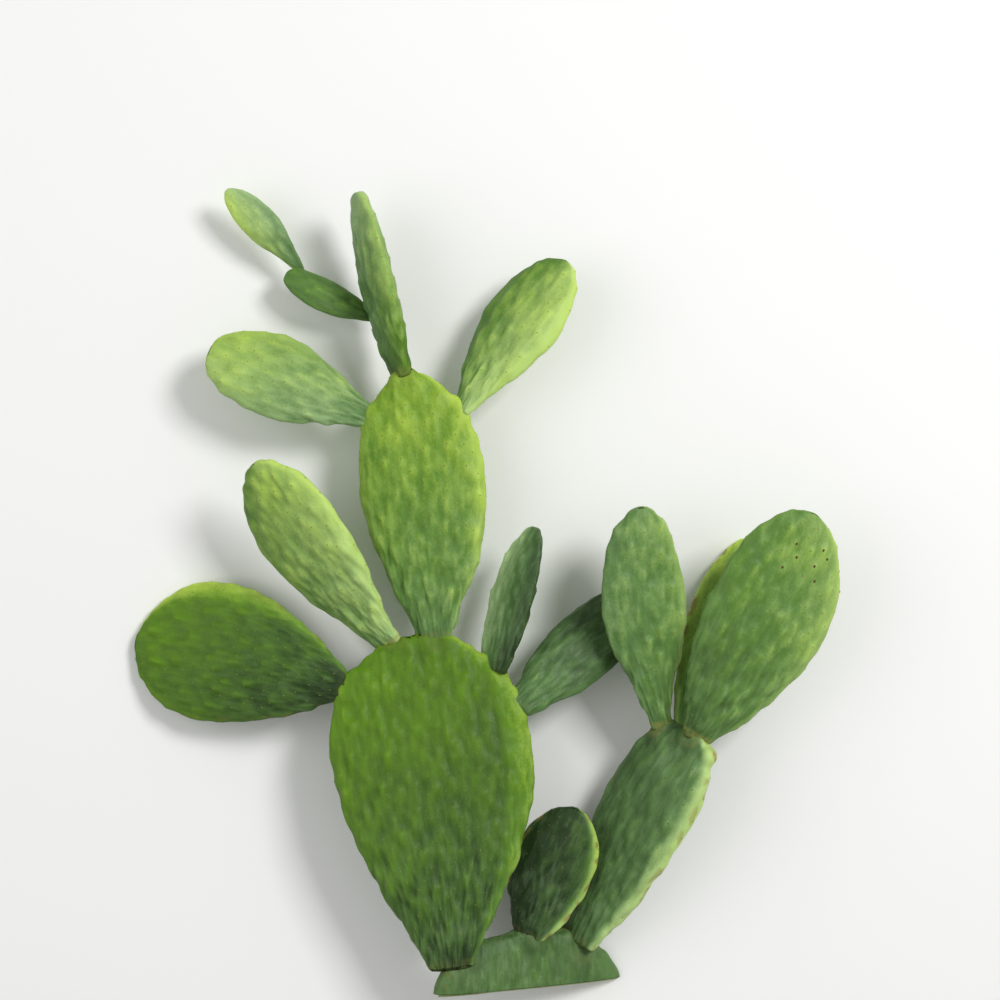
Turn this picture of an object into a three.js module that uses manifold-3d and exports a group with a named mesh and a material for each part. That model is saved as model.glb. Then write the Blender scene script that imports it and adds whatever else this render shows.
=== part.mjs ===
// A cut branch of spineless prickly pear, lying on its back on a flat surface.
//
// Sixteen flat stem joints, called pads, grow out of each other's margins and from the stub of a seventeenth,
// the older parent pad that the branch was cut through. Millimetres, +Z up from the surface, +Y from the cut
// end towards the growing tips, +X to the right as seen from above. The origin is on the surface, under the
// middle of the branch.

import * as THREE from 'three';
import { mergeVertices } from 'three/addons/utils/BufferGeometryUtils.js';
import Module from 'manifold-3d';

const wasm = await Module();
wasm.setup();

// ---- Driving dimensions -------------------------------------------------------------------------------

const CUT_END = [37.5, -321.4, 38]; // middle of the cut across the parent pad
const STUB_LENGTH = 44; // what is left of the parent pad, from the cut to its top
const NECK_SINK = 5; // how deep a pad's neck is seated in the one that it grows from
const SEAT_GAP = 0.3; // least clearance all round a seated neck
const NECK_THICKNESS = 0.55; // thickness of a neck as a share of its width
const COLLAR_RIM = 3; // how far the corky collar of a seat stands out round the neck
const COLLAR_DEPTH = 7; // half height of the collar, along the neck
const COLLAR_RISE = 2.5; // how far the collar rises along the neck over the margin
const TUBERCLE_PITCH = 18.5; // distance between neighbouring tubercles, across the pad
const TUBERCLE_STRETCH = 1.25; // tubercles are this much further apart along the pad than across it
const TUBERCLE_HEIGHT = 1.7; // mean rise of a tubercle over the skin round it, on a full-grown pad
const TUBERCLE_SPREAD = 0.5; // how much tubercles differ in height, as a share of the mean
const FULL_GROWN_WIDTH = 70; // narrower pads have lower tubercles, in proportion
const NECK_SMOOTH = [0.1, 0.2]; // the tubercles set in between these shares of a pad's length
const TIP_SMOOTH = [0.05, 0.2]; // and end where the tip narrows to these shares of its width
const SECTION_POWER = 2.5; // superellipse exponent of a pad's cross-section, 2 being an ellipse
const TIP_THINNING = 0.25; // share of its thickness that a pad loses towards the tip
const TIP_EDGE = 0.25; // how early the thickness rounds off at the very tip: the smaller, the later
const GIRTH = 2.1; // distance round a pad's cross-section, in widths
const WELD = 1e-3; // vertices closer than this are one
const KNOB_SIDES = 10; // faces round a collar or a scar
const KNOB_RINGS = 6; // and from pole to pole

// Each pad: the pad that it grows on, and where on it: along its margin (0 at the neck to 1 at the tip), how
// far to a side (-1 the left margin, 1 the right one, with the tip up) and how far towards a face (-1 lower,
// 0 margin, 1 upper). Then heading (degrees anticlockwise from +X), lean (degrees that it rises towards its
// tip), roll (degrees about its own axis, positive lowers the right side), length, width, thickness and neck
// width. belly is where it is widest, as a share of its length, taper how the sides draw in below that (over
// 1 makes a stalk) and blunt how square the tip is (smaller is squarer). bow and curl bend the middle of the
// pad to its right and towards its upper face.
const PADS = [
  {
    name: 'pad_main', age: 'mature', on: 'parent_pad_stub', along: 0.815, side: -1, face: 0,
    heading: 96.5, lean: -4, roll: 0, length: 265, width: 161, thickness: 21, neck: 34,
    belly: 0.65, taper: 1.1, blunt: 0.9, bow: 3.5, curl: 3,
  },
  {
    name: 'pad_main_upper', age: 'mature', on: 'pad_main', along: 0.96, side: 1, face: 0,
    heading: 95.5, lean: -1, roll: -4, length: 218, width: 102, thickness: 19, neck: 25,
    belly: 0.58, taper: 1.1, blunt: 1.05, bow: 3.5, curl: 3,
  },
  {
    name: 'pad_left_low', age: 'mature', on: 'pad_main', along: 0.78, side: -1, face: 0,
    heading: 168.5, lean: -16.05, roll: 6, length: 187, width: 114, thickness: 18, neck: 20,
    belly: 0.64, taper: 1, blunt: 1, bow: 4.5, curl: -3,
  },
  {
    name: 'pad_left_mid', age: 'mature', on: 'pad_main', along: 0.945, side: -1, face: 0,
    heading: 126.5, lean: 8, roll: -32, length: 185, width: 82, thickness: 20, neck: 20,
    belly: 0.63, taper: 1.45, blunt: 1.05, bow: -4, curl: 3,
  },
  {
    name: 'pad_top_left', age: 'young', on: 'pad_main_upper', along: 0.755, side: -1, face: 0,
    heading: 157.5, lean: -2, roll: 10, length: 142, width: 68, thickness: 15, neck: 16,
    belly: 0.59, taper: 1.35, blunt: 0.8, bow: 2, curl: -2,
  },
  {
    name: 'pad_top_edge', age: 'mature', on: 'pad_main_upper', along: 0.965, side: -1, face: 0,
    heading: 103.5, lean: 2, roll: -70, length: 153, width: 65, thickness: 17, neck: 23,
    belly: 0.55, taper: 0.75, blunt: 0.9, bow: -1, curl: 2,
  },
  {
    name: 'pad_far_small', age: 'mature', on: 'pad_top_edge', along: 0.355, side: -1, face: 0,
    heading: 155.5, lean: 5, roll: 20, length: 83, width: 30, thickness: 10, neck: 10,
    belly: 0.58, taper: 1.55, blunt: 0.75, bow: -2.5, curl: 2,
  },
  {
    name: 'pad_far_tip', age: 'young', on: 'pad_far_small', along: 0.805, side: 1, face: 0,
    heading: 133, lean: 6, roll: -14, length: 91, width: 31, thickness: 8, neck: 6,
    belly: 0.6, taper: 1.5, blunt: 1, bow: 2, curl: 0,
  },
  {
    name: 'pad_top_right', age: 'young', on: 'pad_main_upper', along: 0.75, side: 1, face: 0,
    heading: 54.5, lean: -2, roll: -32, length: 149, width: 70, thickness: 16, neck: 17,
    belly: 0.61, taper: 1.25, blunt: 1.05, bow: -2.5, curl: 0,
  },
  {
    name: 'pad_centre_edge', age: 'mature', on: 'pad_main', along: 0.79, side: 1, face: -0.2,
    heading: 74, lean: 2, roll: -57, length: 120, width: 56, thickness: 16, neck: 29,
    belly: 0.51, taper: 0.85, blunt: 0.95, bow: -0.5, curl: 3,
  },
  {
    name: 'pad_centre_back', age: 'old', on: 'pad_main', along: 0.685, side: 1, face: 0,
    heading: 40.5, lean: -14, roll: -8, length: 135, width: 57, thickness: 15, neck: 20,
    belly: 0.62, taper: 0.9, blunt: 0.9, bow: -1, curl: 0,
  },
  {
    name: 'pad_right_main', age: 'old', on: 'parent_pad_stub', along: 0.905, side: 1, face: 0.5,
    heading: 62.5, lean: 12, roll: -34, length: 199, width: 83, thickness: 24, neck: 34,
    belly: 0.68, taper: 0.95, blunt: 0.65, bow: -0.5, curl: 3,
  },
  {
    name: 'pad_right_tall', age: 'mature', on: 'pad_right_main', along: 0.88, side: -1, face: 0.5,
    heading: 96, lean: 8, roll: 8, length: 182, width: 68, thickness: 18, neck: 17,
    belly: 0.57, taper: 1.7, blunt: 0.95, bow: -5.5, curl: 3,
  },
  {
    name: 'pad_right_back', age: 'mature', on: 'pad_right_main', along: 0.8, side: 0.3, face: -0.9,
    heading: 71, lean: -16.5, roll: 12, length: 200, width: 60, thickness: 15, neck: 16,
    belly: 0.6, taper: 0.9, blunt: 0.85, bow: -7, curl: 0,
  },
  {
    name: 'pad_right_big', age: 'mature', on: 'pad_right_main', along: 0.985, side: 1, face: 0.6,
    heading: 62.5, lean: 4, roll: 10, length: 205, width: 101, thickness: 18, neck: 18,
    belly: 0.57, taper: 0.95, blunt: 1, bow: 5, curl: 2,
  },
  {
    name: 'pad_low_dark', age: 'old', on: 'parent_pad_stub', along: 0.995, side: -0.2, face: 0.6,
    heading: 69.5, lean: 5, roll: -10, length: 114, width: 68, thickness: 16, neck: 20,
    belly: 0.56, taper: 0.9, blunt: 1.1, bow: -0.5, curl: 0,
  },
];

// The parent pad, of which only the top is left above the cut.
const PARENT = {
  name: 'parent_pad_stub', age: 'old',
  heading: 90, lean: 0, roll: 27, length: 250, width: 190, thickness: 26, neck: 50,
  belly: 0.6, taper: 0.9, blunt: 0.6, bow: 0, curl: 0,
};

// The scar of a pad that broke off, a corky knob on the margin.
const SCAR = { on: 'pad_right_main', along: 0.895, side: 1, width: 16, rise: 5 };

const SKIN = {
  young: new THREE.MeshStandardMaterial({ color: '#8fbb45', roughness: 0.45, metalness: 0 }),
  mature: new THREE.MeshStandardMaterial({ color: '#5f9038', roughness: 0.45, metalness: 0 }),
  old: new THREE.MeshStandardMaterial({ color: '#41703a', roughness: 0.5, metalness: 0 }),
};

// ---- The form of a pad --------------------------------------------------------------------------------

// Share of the margin, from neck to tip, that lies below the widest place.
function bellyShare(pad) {
  const below = Math.hypot(pad.belly * pad.length, (pad.width - pad.neck) / 2);
  const above = Math.hypot((1 - pad.belly) * pad.length, pad.width / 2);
  return below / (below + above);
}

// The cross-section at a share of the way along the margin: its middle, half width and half thickness.
function section(pad, along) {
  const split = bellyShare(pad);
  let y;
  let halfWidth;
  let halfThickness;
  if (along < split) {
    const rise = along / split;
    const swell = Math.sin((rise * Math.PI) / 2) ** pad.taper;
    y = pad.belly * pad.length * rise;
    halfWidth = THREE.MathUtils.lerp(pad.neck, pad.width, swell) / 2;
    halfThickness = THREE.MathUtils.lerp(pad.neck * NECK_THICKNESS, pad.thickness, swell) / 2;
  } else {
    const turn = ((along - split) / (1 - split)) * (Math.PI / 2);
    const narrowing = Math.max(Math.cos(turn), 0);
    y = pad.length * THREE.MathUtils.lerp(pad.belly, 1, Math.sin(turn));
    halfWidth = (pad.width / 2) * narrowing ** pad.blunt;
    halfThickness = (pad.thickness / 2) * (1 - TIP_THINNING * Math.sin(turn)) * narrowing ** TIP_EDGE;
  }
  const arch = 4 * (y / pad.length) * (1 - y / pad.length);
  return { x: pad.bow * arch, y, z: pad.curl * arch, halfWidth, halfThickness };
}

// Points evenly spaced round a superellipse, from the left margin over the upper face. shift is in places.
function rim(halfWidth, halfThickness, count, shift) {
  const STEPS = 160;
  const outline = [];
  let length = 0;
  for (let step = 0; step <= STEPS; step++) {
    const c = -Math.cos((step / STEPS) * Math.PI * 2);
    const s = Math.sin((step / STEPS) * Math.PI * 2);
    const point = new THREE.Vector2(
      halfWidth * Math.sign(c) * Math.abs(c) ** (2 / SECTION_POWER),
      halfThickness * Math.sign(s) * Math.abs(s) ** (2 / SECTION_POWER),
    );
    length += step === 0 ? 0 : point.distanceTo(outline[step - 1].point);
    outline.push({ point, length });
  }
  return Array.from({ length: count }, (_, place) => {
    const share = THREE.MathUtils.euclideanModulo((place + shift) / count, 1);
    const next = outline.findIndex((entry) => entry.length > share * length);
    const [a, b] = [outline[next - 1], outline[next]];
    const part = (share * length - a.length) / (b.length - a.length);
    return a.point.clone().lerp(b.point, part);
  });
}

// A sphere drawn out into a pad, from its neck at the origin along +Y, with its upper face towards +Z. Each
// ring is turned by half a place from the last, so that the vertices lie in a triangular lattice, and every
// third vertex is raised as a tubercle. allowance makes the pad larger all round.
function padGeometry(pad, allowance = 0) {
  const spacing = TUBERCLE_PITCH / Math.sqrt(3);
  const around = 3 * Math.max(4, Math.round((GIRTH * pad.width) / spacing / 3));
  const margin = Math.hypot(pad.belly * pad.length, pad.width / 2)
    + Math.hypot((1 - pad.belly) * pad.length, pad.width / 2);
  const rings = Math.round(margin / (spacing * (Math.sqrt(3) / 2) * TUBERCLE_STRETCH));
  const geometry = new THREE.SphereGeometry(1, around, rings);
  const position = geometry.getAttribute('position');
  const height = new Float32Array(position.count);
  for (let ring = 0; ring <= rings; ring++) {
    // The first ring is the tip. The last two are the rim and the middle of the neck's flat end.
    const cut = section(pad, Math.max(0, (rings - 1 - ring) / (rings - 1)));
    const isPole = ring === 0 || ring === rings;
    const points = rim(cut.halfWidth + allowance, cut.halfThickness + allowance, around, -ring / 2);
    const end = ring >= rings - 1 ? -allowance : 0;
    const grown = Math.min(1, pad.width / FULL_GROWN_WIDTH)
      * THREE.MathUtils.smoothstep(cut.y / pad.length, ...NECK_SMOOTH)
      * THREE.MathUtils.smoothstep(cut.halfWidth / pad.width, ...TIP_SMOOTH);
    for (let place = 0; place <= around; place++) {
      const index = ring * (around + 1) + place;
      const point = points[place % around];
      position.setXYZ(index, cut.x + (isPole ? 0 : point.x), cut.y + end, cut.z + (isPole ? 0 : point.y));
      if ((ring + place) % 3 === 0 && !isPole) {
        const seed = ring * around + (place % around);
        const spread = TUBERCLE_SPREAD * (THREE.MathUtils.seededRandom(seed) - 0.5);
        height[index] = TUBERCLE_HEIGHT * grown * (1 + spread);
      }
    }
  }
  geometry.deleteAttribute('normal');
  geometry.deleteAttribute('uv');
  geometry.setAttribute('height', new THREE.BufferAttribute(height, 1));
  const merged = mergeVertices(geometry, WELD);
  merged.computeVertexNormals();
  const normal = new THREE.Vector3();
  const vertex = new THREE.Vector3();
  for (let i = 0; i < merged.getAttribute('position').count; i++) {
    normal.fromBufferAttribute(merged.getAttribute('normal'), i);
    vertex.fromBufferAttribute(merged.getAttribute('position'), i);
    vertex.addScaledVector(normal, merged.getAttribute('height').getX(i));
    merged.getAttribute('position').setXYZ(i, vertex.x, vertex.y, vertex.z);
  }
  merged.deleteAttribute('normal');
  merged.deleteAttribute('height');
  return merged;
}

// The corky swelling round a neck, on the pad that it grows from, in the frame of the pad that grows.
function collarGeometry(width, thickness) {
  const geometry = new THREE.SphereGeometry(1, KNOB_SIDES, KNOB_RINGS);
  geometry.rotateX(Math.PI / 2);
  geometry.scale(width / 2 + COLLAR_RIM, COLLAR_DEPTH, thickness / 2 + COLLAR_RIM);
  geometry.translate(0, NECK_SINK + COLLAR_RISE - COLLAR_DEPTH, 0);
  return geometry;
}

// ---- Placing the pads ---------------------------------------------------------------------------------

// The turn that takes a pad's own axes (X across, Y along, Z out of its upper face) to the branch's.
function turnOf(pad) {
  const heading = THREE.MathUtils.degToRad(pad.heading);
  const lean = THREE.MathUtils.degToRad(pad.lean);
  const along = new THREE.Vector3(
    Math.cos(lean) * Math.cos(heading),
    Math.cos(lean) * Math.sin(heading),
    Math.sin(lean),
  );
  const across = new THREE.Vector3(Math.sin(heading), -Math.cos(heading), 0);
  const axes = new THREE.Matrix4().makeBasis(across, along, across.clone().cross(along));
  const roll = new THREE.Quaternion().setFromAxisAngle(along, THREE.MathUtils.degToRad(pad.roll));
  return new THREE.Quaternion().setFromRotationMatrix(axes).premultiply(roll);
}

// The place on a pad, in its own frame, that another grows from.
function seatPoint(pad, along, side, face) {
  const cut = section(pad, along);
  const inset = (1 - Math.abs(face) ** SECTION_POWER) ** (1 / SECTION_POWER);
  return new THREE.Vector3(cut.x + side * inset * cut.halfWidth, cut.y, cut.z + face * cut.halfThickness);
}

const placed = new Map(); // by name: the pad, its matrix and its solid

function place(pad, point, alongToPoint) {
  const turn = turnOf(pad);
  const neck = point.clone().sub(new THREE.Vector3(0, alongToPoint, 0).applyQuaternion(turn));
  placed.set(pad.name, { pad, matrix: new THREE.Matrix4().compose(neck, turn, new THREE.Vector3(1, 1, 1)) });
}

place(PARENT, new THREE.Vector3(...CUT_END), PARENT.length - STUB_LENGTH);
for (const pad of PADS) {
  const host = placed.get(pad.on);
  place(pad, seatPoint(host.pad, pad.along, pad.side, pad.face).applyMatrix4(host.matrix), NECK_SINK);
}

// ---- Solids -------------------------------------------------------------------------------------------

function solidOf(geometry) {
  const bare = geometry.clone();
  bare.deleteAttribute('normal');
  bare.deleteAttribute('uv');
  const closed = mergeVertices(bare, WELD);
  return new wasm.Manifold(new wasm.Mesh({
    numProp: 3,
    vertProperties: new Float32Array(closed.getAttribute('position').array),
    triVerts: new Uint32Array(closed.index.array),
  }));
}

function geometryOf(solid) {
  const mesh = solid.getMesh();
  const geometry = new THREE.BufferGeometry();
  geometry.setAttribute('position', new THREE.BufferAttribute(mesh.vertProperties, mesh.numProp));
  geometry.setIndex(new THREE.BufferAttribute(mesh.triVerts, 1));
  geometry.computeVertexNormals();
  return geometry;
}

// The change from one placed pad's frame to another's.
function between(from, to) {
  return to.matrix.clone().invert().multiply(from.matrix);
}

// A block that fills everything below a level, for cutting flats.
function blockBelow(axis, level) {
  const SIZE = 1500;
  const block = new THREE.BoxGeometry(SIZE, SIZE, SIZE);
  return block.translate(...axis.map((part) => part * (level - SIZE / 2)));
}

const floor = blockBelow([0, 0, 1], 0);

function build(entry) {
  let solid = solidOf(padGeometry(entry.pad));
  for (const grown of placed.values()) {
    if (grown.pad.on === entry.pad.name) {
      const { neck } = grown.pad;
      const collar = collarGeometry(neck, neck * NECK_THICKNESS).applyMatrix4(between(grown, entry));
      solid = solid.add(solidOf(collar));
    }
  }
  if (SCAR.on === entry.pad.name) {
    const at = seatPoint(entry.pad, SCAR.along, SCAR.side, 0);
    const knob = new THREE.SphereGeometry(SCAR.width / 2, KNOB_SIDES, KNOB_RINGS);
    knob.translate(at.x - SCAR.width / 2 + SCAR.rise, at.y, at.z);
    solid = solid.add(solidOf(knob));
  }
  for (const grown of placed.values()) {
    if (grown.pad.on === entry.pad.name) {
      const socket = padGeometry(grown.pad, SEAT_GAP).applyMatrix4(between(grown, entry));
      solid = solid.subtract(solidOf(socket));
    }
  }
  if (entry.pad === PARENT) {
    solid = solid.subtract(solidOf(blockBelow([0, 1, 0], PARENT.length - STUB_LENGTH)));
  }
  return solid.subtract(solidOf(floor.clone().applyMatrix4(entry.matrix.clone().invert())));
}

// ---- Assembly -----------------------------------------------------------------------------------------

const branch = new THREE.Group();
branch.name = 'prickly_pear_branch';
for (const entry of placed.values()) {
  const mesh = new THREE.Mesh(geometryOf(build(entry)), SKIN[entry.pad.age]);
  mesh.name = entry.pad.name;
  mesh.applyMatrix4(entry.matrix);
  branch.add(mesh);
}

export default branch;
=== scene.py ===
"""A cut branch of spineless prickly pear, lying on its back on a pale floor.

Each pad is extruded ring by ring from its neck to its tip, smoothed, given its tubercles and creases, and
turned to where it grows on its neighbour. Sizes are in metres. A pad's own axes are X across it, Y from its
neck to its tip and Z out of its upper face.
"""

import math
from collections import namedtuple

import bpy
import numpy as np
from mathutils import Matrix, Vector, noise


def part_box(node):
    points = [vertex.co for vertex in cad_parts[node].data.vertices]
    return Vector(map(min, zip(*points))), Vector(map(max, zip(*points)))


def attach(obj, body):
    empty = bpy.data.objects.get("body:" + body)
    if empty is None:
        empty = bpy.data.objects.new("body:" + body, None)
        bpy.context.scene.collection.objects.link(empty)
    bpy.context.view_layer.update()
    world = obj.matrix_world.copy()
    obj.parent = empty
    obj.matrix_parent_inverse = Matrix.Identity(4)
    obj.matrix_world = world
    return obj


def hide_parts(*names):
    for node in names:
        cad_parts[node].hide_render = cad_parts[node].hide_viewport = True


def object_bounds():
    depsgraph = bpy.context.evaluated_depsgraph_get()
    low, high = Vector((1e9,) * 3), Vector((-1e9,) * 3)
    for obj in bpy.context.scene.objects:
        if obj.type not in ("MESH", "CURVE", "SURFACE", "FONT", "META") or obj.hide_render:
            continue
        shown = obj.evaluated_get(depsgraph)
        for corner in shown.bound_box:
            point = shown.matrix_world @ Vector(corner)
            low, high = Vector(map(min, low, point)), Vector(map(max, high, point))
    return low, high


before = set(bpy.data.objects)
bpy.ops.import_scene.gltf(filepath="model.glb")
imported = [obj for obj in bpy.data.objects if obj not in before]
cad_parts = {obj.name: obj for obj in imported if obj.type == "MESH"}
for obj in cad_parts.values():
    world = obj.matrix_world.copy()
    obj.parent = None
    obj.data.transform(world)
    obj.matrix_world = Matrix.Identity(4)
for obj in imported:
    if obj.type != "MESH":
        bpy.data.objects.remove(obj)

bl_info = {
    "name": "Prickly pear branch",
    "version": (1, 0, 0),
    "blender": (4, 5, 0),
    "location": "View3D > Sidebar > Prickly pear",
    "description": "Grows a branch of prickly pear pads and lights it on a pale floor",
    "category": "Add Mesh",
}

CAD_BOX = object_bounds()
MM = 0.001
BODY = "root"

# ---- The branch ----

# Each pad grows on another one: along its margin (0 at the neck to 1 at the tip), towards a side (-1 left, 1
# right) and a face (-1 lower, 1 upper). Heading is in degrees anticlockwise from +X, lean is how far it rises
# towards its tip, roll turns it about its own length. size is its length, width and thickness and the width
# of its neck, in millimetres. belly is where it is widest, taper how its foot draws in, blunt how round its
# tip is. bow and curl bend its middle to its right and towards its upper face, in millimetres too. tone is
# how light the skin is at its foot and its tip, partly its own colour and partly painted shade where a pad
# lies in shade, and how much lighter it is on its right, which is painted light and sheen on the side that
# catches the light. fresh says in the same way how yellow-green it is, against grey-green, its side share
# painted light and sheen too. rim is how much painted rim light lightens its margin, mostly on its right,
# cork how brown its joint is and rust how brown its margin is. What a row leaves out keeps its default.
PADS = [
    dict(name="pad_main", age="mature", on="parent_pad_stub", along=0.815, side=-1,
         heading=96.5, lean=-4, size=(265, 161, 21, 34),
         belly=0.65, taper=1.1, blunt=0.9, bow=3.5, curl=3,
         tone=(0.12, 0.38, -0.12), fresh=(0.38, 1, -0.1), rim=1, cork=0.3, rust=0.05),
    dict(name="pad_main_upper", age="mature", on="pad_main", along=0.96, side=1,
         heading=95.5, lean=-1, roll=-4, size=(218, 102, 19, 25),
         belly=0.58, taper=1.1, blunt=1.05, bow=3.5, curl=3,
         tone=(0.44, 0.64), fresh=(0.25, 1), rim=0.7, cork=0.4, rust=0.1),
    dict(name="pad_left_low", age="mature", on="pad_main", along=0.78, side=-1,
         heading=168.5, lean=-16.05, roll=6, size=(187, 114, 18, 20),
         belly=0.64, taper=1, blunt=1, bow=4.5, curl=-3,
         tone=(0.03, 0.42, 0.16), fresh=(0.4, 0.9), rim=1.1, cork=0.2, rust=0.3),
    dict(name="pad_left_mid", age="mature", on="pad_main", along=0.945, side=-1,
         heading=126.5, lean=8, roll=-32, size=(185, 82, 20, 20),
         belly=0.63, taper=1.45, blunt=1.05, bow=-4, curl=3,
         tone=(0.66, 0.69, 0.32), fresh=(0.3, 0.65), rim=0.5, cork=0.7, rust=0.05),
    dict(name="pad_top_left", age="young", on="pad_main_upper", along=0.755, side=-1,
         heading=157.5, lean=-2, roll=10, size=(142, 68, 15, 16),
         belly=0.59, taper=1.35, blunt=0.8, bow=2, curl=-2,
         tone=(0.57, 0.8), fresh=(0.05, 0.65, 0.3), rim=0.3, cork=0.05, rust=0.2),
    dict(name="pad_top_edge", age="mature", on="pad_main_upper", along=0.965, side=-1,
         heading=103.5, lean=2, roll=-70, size=(153, 65, 17, 23),
         belly=0.55, taper=0.75, blunt=0.9, bow=-1, curl=2,
         tone=(0.3, 0.72, 0.1), fresh=(0.3, 0.1, 0.7), rim=0.35, cork=0.5),
    dict(name="pad_far_small", age="mature", on="pad_top_edge", along=0.355, side=-1,
         heading=155.5, lean=5, roll=20, size=(83, 30, 10, 10),
         belly=0.58, taper=1.55, blunt=0.75, bow=-2.5, curl=2,
         tone=(0.3, 0.44), fresh=(0.35, 0.45), rim=0.4, cork=0.2),
    dict(name="pad_far_tip", age="young", on="pad_far_small", along=0.805, side=1,
         heading=133, lean=6, roll=-14, size=(91, 31, 8, 6),
         belly=0.6, taper=1.5, blunt=1, bow=2,
         tone=(0.44, 1, -0.3), fresh=(0.05, 0.5, -0.7), rim=0.2, cork=0.2),
    dict(name="pad_top_right", age="young", on="pad_main_upper", along=0.75, side=1,
         heading=54.5, lean=-2, roll=-32, size=(149, 70, 16, 17),
         belly=0.61, taper=1.25, blunt=1.05, bow=-2.5,
         tone=(0.72, 0.64, 0.58), fresh=(0.4, 0.6), rim=0.6, cork=0.1),
    dict(name="pad_centre_edge", age="mature", on="pad_main", along=0.79, side=1, face=-0.2,
         heading=74, lean=2, roll=-57, size=(120, 56, 16, 29),
         belly=0.51, taper=0.85, blunt=0.95, bow=-0.5, curl=3,
         tone=(0.54, 0.63, -1), fresh=(0, 0), rim=0.1, cork=0.1),
    dict(name="pad_centre_back", age="old", on="pad_main", along=0.685, side=1,
         heading=40.5, lean=-14, roll=-8, size=(135, 57, 15, 20),
         belly=0.62, taper=0.9, blunt=0.9, bow=-1,
         tone=(0.44, 0), fresh=(0.1, 0.1), rim=0.3, cork=0.2, rust=0.1),
    dict(name="pad_right_main", age="old", on="parent_pad_stub", along=0.905, side=1, face=0.5,
         heading=62.5, lean=12, roll=-34, size=(199, 83, 24, 34),
         belly=0.68, taper=0.95, blunt=0.65, bow=-0.5, curl=3,
         tone=(0.26, 0.36, 0.2), fresh=(0.1, 0.15), rim=1.6, cork=0.4, rust=0.45),
    dict(name="pad_right_tall", age="mature", on="pad_right_main", along=0.88, side=-1, face=0.5,
         heading=96, lean=8, roll=8, size=(182, 68, 18, 17),
         belly=0.57, taper=1.7, blunt=0.95, bow=-5.5, curl=3,
         tone=(0.45, 0.54, 0.06), fresh=(0.3, 0.35, 0.2), rim=0.6, cork=0.8, rust=0.05),
    # Its dark foot is painted shade, where it lies in shade between its neighbours.
    dict(name="pad_right_back", age="mature", on="pad_right_main", along=0.8, side=0.3, face=-0.9,
         heading=71, lean=-16.5, roll=12, size=(200, 60, 15, 16),
         belly=0.6, taper=0.9, blunt=0.85, bow=-7,
         tone=(0.2, 0.52, -0.6), fresh=(0.4, 0.9), rim=1.2, cork=0.3, rust=1),
    dict(name="pad_right_big", age="mature", on="pad_right_main", along=0.985, side=1, face=0.6,
         heading=62.5, lean=4, roll=10, size=(205, 101, 18, 18),
         belly=0.57, taper=0.95, blunt=1, bow=5, curl=2,
         tone=(0.31, 0.62, 0.22), fresh=(0.3, 0.55), rim=0.5, cork=0.7, rust=0.15),
    # Its dark tone is partly its own old colour and partly painted shade, where it lies in shade.
    dict(name="pad_low_dark", age="old", on="parent_pad_stub", along=0.995, side=-0.2, face=0.6,
         heading=69.5, lean=5, roll=-10, size=(114, 68, 16, 20),
         belly=0.56, taper=0.9, blunt=1.1, bow=-0.5,
         tone=(0, 0.04, 0.3), fresh=(0.1, 0.4), rim=2, cork=0.3, rust=0.9),
]

# The parent pad, of which only the top is left above the cut.
PARENT = dict(name="parent_pad_stub", age="old", heading=90, roll=27, size=(250, 190, 26, 50),
              belly=0.6, taper=0.9, blunt=0.6, tone=(0.25, 0.3), fresh=(0.2, 0.2), rim=0.4, cork=0, rust=0.3)
CUT_END = Vector((37.5, -321.4, 38)) * MM  # middle of the cut
STUB_LENGTH = 44 * MM  # from the cut to the parent pad's top

# The corky knob where another pad broke off.
SCAR = dict(on="pad_right_main", along=0.895, side=1, width=16, rise=5)
SCAR_CAP = 0.55  # width of the cork on it, as a share of the knob's
SCAR_SUNK, SCAR_DROP = 0.6, 0.4  # how far it is set in and towards the foot, in its radii
SCAR_SHAPE = (0.8, 1.25, 1)  # a sphere stretched along the pad
SCAR_ROUGHNESS = 1.2 * MM
SCAR_GRAIN = (3 * MM, 3 * MM, 3 * MM)

# The cut face is inset in steps, each by a width and a depth.
CUT_STEPS = ((1.5 * MM, 0.0), (0.8 * MM, -0.9 * MM), (3 * MM, -0.8 * MM), (4 * MM, -0.3 * MM))
FLESH_REACH = 3.5 * MM  # faces this near to the cut that look out of it are flesh
STUB_BARE = 4 * MM  # no areoles this near to the cut

NECK_SINK = 5 * MM  # how deep a neck sits in the pad that it grows from
NECK_THICKNESS = 0.55  # thickness of a neck as a share of its width
SECTION_POWER = 2.5  # superellipse exponent of a pad's cross-section
TIP_THINNING = 0.25  # share of its thickness that a pad loses towards its tip
TIP_EDGE = 0.25  # how early the thickness rounds off at the very tip
LAST_RING = 0.35  # the last ring stands this share of a step below the tip

# ---- The surface ----

CAGE_STEP = 5.2 * MM  # spacing of the rings and sides before smoothing
SMOOTH_LEVELS = 2  # each level halves that spacing
AROUND = 4.15  # distance round a pad at its widest place, in half widths
READINGS = 200  # cross-sections worked out along a pad
FULL_WIDTH = 70 * MM  # a narrower pad has smaller tubercles
COLLAR_REACH = 0.55  # a joint's swelling fades out at this share of the neck's half width
FLOOR = 0.0  # the surface that the branch rests on
FLOOR_DROP = 0.3 * MM  # the stage's floor lies this far below it
FIT = 12 * MM  # a pad's box may differ from its node's by this much
SEED = 11
DARK_ON = "pad_right_big"  # the pad with withered, rust-red areoles near its tip
DARK_FROM = (-0.1, 0.75)  # they lie beyond this share of its width and of its length
DARK_SHARE = 0.6  # share of the areoles there that are rust red
DARK_SIZE = 1.8  # and how much bigger they are
AREOLE_SHAPE = (0.38, 0.5, 0.22)  # a cushion's half breadth, half length and height, for a length of 1
FLOW = 0.45  # how far the lines of the skin draw together at the neck
CALM_TIP = 16 * MM  # a pad's relief fades out this near to the middle of its tip
CALM_END = 5 * MM  # and over this length at the neck or the cut
HOLLOW = 0.22  # a hollow is no deeper than this share of half the thickness

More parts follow.
